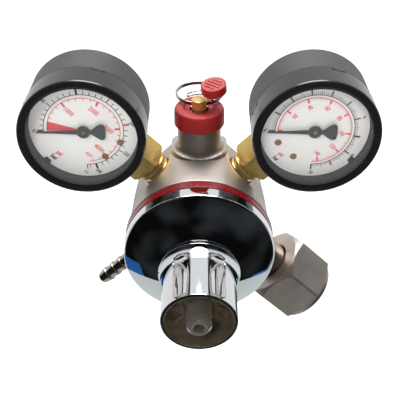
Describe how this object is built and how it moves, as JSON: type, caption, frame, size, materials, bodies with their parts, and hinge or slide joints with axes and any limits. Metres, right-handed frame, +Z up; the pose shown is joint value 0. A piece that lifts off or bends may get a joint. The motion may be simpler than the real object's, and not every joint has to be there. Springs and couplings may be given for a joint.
{
  "type": "gas regulator",
  "caption": "Single-stage cylinder gas regulator with a domed bonnet, fluted adjusting knob, twin pressure gauges on angled stems, relief valve, hex inlet nut and barbed hose tail.",
  "frame": {"origin": "centre of the body's flat rear face, on the knob's axis", "axes": "+Y out of the rear face, away from the knob; +Z up through the relief valve; +X to the right seen from the knob"},
  "size_m": [0.1466, 0.0988, 0.1382],
  "materials": {
    "satin_nickel": "satin nickel plate over forged brass",
    "polished_chrome": "polished chrome plate",
    "brass": "bare machined brass",
    "steel": "bright spring steel and turned stainless steel",
    "copper_alloy": "bronze tube and sintered bronze",
    "red_plastic": "fine grained moulded plastic",
    "dark_red_plastic": "smooth moulded plastic",
    "matt_black_plastic": "fine textured ABS",
    "gloss_black_plastic": "glossy ABS",
    "clear_plastic": "clear polycarbonate",
    "dial_white": "white enamelled aluminium",
    "pointer_grey": "dark painted aluminium",
    "black_rubber": "moulded nitrile rubber",
    "white_seal": "PTFE"
  },
  "bodies": {
    "regulator_body": {"body": "satin_nickel", "colour_ring": "dark_red_plastic", "slip_ring": "steel", "diaphragm": "black_rubber", "bonnet": "polished_chrome", "valve_nozzle": "brass", "valve_spring": "steel", "main_spring": "steel", "retaining_clip": "steel", "relief_cap": "red_plastic", "relief_spring": "steel", "inlet_nipple": "polished_chrome", "inlet_filter": "copper_alloy", "inlet_washer": "white_seal", "hose_tail": "satin_nickel", "left_gauge_case": "matt_black_plastic", "left_gauge_bezel": "gloss_black_plastic", "left_gauge_window": "clear_plastic", "left_gauge_dial": "dial_white", "left_gauge_dial_screw_1": "brass", "left_gauge_dial_screw_2": "brass", "left_gauge_stop_pin": "pointer_grey", "left_gauge_movement": "brass", "left_gauge_socket": "brass", "left_gauge_spring_tube": "copper_alloy", "right_gauge_case": "matt_black_plastic", "right_gauge_bezel": "gloss_black_plastic", "right_gauge_window": "clear_plastic", "right_gauge_dial": "dial_white", "right_gauge_dial_screw_1": "brass", "right_gauge_dial_screw_2": "brass", "right_gauge_stop_pin": "pointer_grey", "right_gauge_movement": "brass", "right_gauge_socket": "brass", "right_gauge_spring_tube": "copper_alloy"},
    "knob": {"knob": "polished_chrome", "drive_nut": "brass"},
    "screw": {"adjusting_screw": "steel", "spring_button": "steel"},
    "valve": {"diaphragm_plate": "brass", "push_pin": "steel", "valve_poppet": "brass"},
    "relief_pin": {"relief_pin": "brass", "relief_poppet": "black_rubber"},
    "pull_ring": {"pull_ring": "steel"},
    "seal": {"seal": "red_plastic", "seal_wire": "steel"},
    "inlet_nut": {"inlet_nut": "satin_nickel"},
    "left_pointer": {"left_gauge_pointer": "pointer_grey", "left_gauge_arbor": "brass"},
    "left_sector": {"left_gauge_sector": "brass"},
    "right_pointer": {"right_gauge_pointer": "pointer_grey", "right_gauge_arbor": "brass"},
    "right_sector": {"right_gauge_sector": "brass"}
  },
  "joints": [
    {"name": "knob_turn", "type": "hinge", "parent": "regulator_body", "child": "knob", "pos_m": [0, 0, 0], "axis": [0, 1, 0], "range_deg": [0, 1440]},
    {"name": "screw_travel", "type": "slide", "parent": "regulator_body", "child": "screw", "axis": [0, 1, 0], "range_m": [0, 0.0061], "deforming": ["main_spring"]},
    {"name": "valve_lift", "type": "slide", "parent": "regulator_body", "child": "valve", "axis": [0, 1, 0], "range_m": [0, 0.001], "stiffness_N_per_m": 3000, "deforming": ["diaphragm", "valve_spring"]},
    {"name": "relief_lift", "type": "slide", "parent": "regulator_body", "child": "relief_pin", "axis": [0, 0, 1], "range_m": [0, 0.003], "stiffness_N_per_m": 2000, "deforming": ["relief_spring"]},
    {"name": "ring_swing", "type": "hinge", "parent": "relief_pin", "child": "pull_ring", "pos_m": [0, -0.013, 0.0524], "axis": [1, 0, 0], "range_deg": [0, 30]},
    {"name": "seal_swing", "type": "hinge", "parent": "pull_ring", "child": "seal", "pos_m": [0, -0.013, 0.0542], "axis": [1, 0, 0], "range_deg": [0, 12]},
    {"name": "nut_turn", "type": "hinge", "parent": "regulator_body", "child": "inlet_nut", "pos_m": [0, -0.013, 0], "axis": [0.7071, 0, -0.7071], "continuous": true},
    {"name": "left_pointer_turn", "type": "hinge", "parent": "regulator_body", "child": "left_pointer", "pos_m": [-0.0473, -0.013, 0.0473], "axis": [0, 1, 0], "range_deg": [0, 270.05]},
    {"name": "left_sector_turn", "type": "hinge", "parent": "regulator_body", "child": "left_sector", "pos_m": [-0.0367, -0.013, 0.0367], "axis": [0, 1, 0], "range_deg": [-30, 0], "deforming": ["left_gauge_spring_tube"]},
    {"name": "right_pointer_turn", "type": "hinge", "parent": "regulator_body", "child": "right_pointer", "pos_m": [0.0473, -0.013, 0.0473], "axis": [0, 1, 0], "range_deg": [0, 270.05]},
    {"name": "right_sector_turn", "type": "hinge", "parent": "regulator_body", "child": "right_sector", "pos_m": [0.0367, -0.013, 0.0367], "axis": [0, 1, 0], "range_deg": [-30, 0], "deforming": ["right_gauge_spring_tube"]}
  ],
  "couplings": [
    {"joint": "screw_travel", "follows": "knob_turn", "m_per_rad": 0.00023873},
    {"joint": "left_pointer_turn", "follows": "left_sector_turn", "ratio": -9},
    {"joint": "right_pointer_turn", "follows": "right_sector_turn", "ratio": -9}
  ]
}
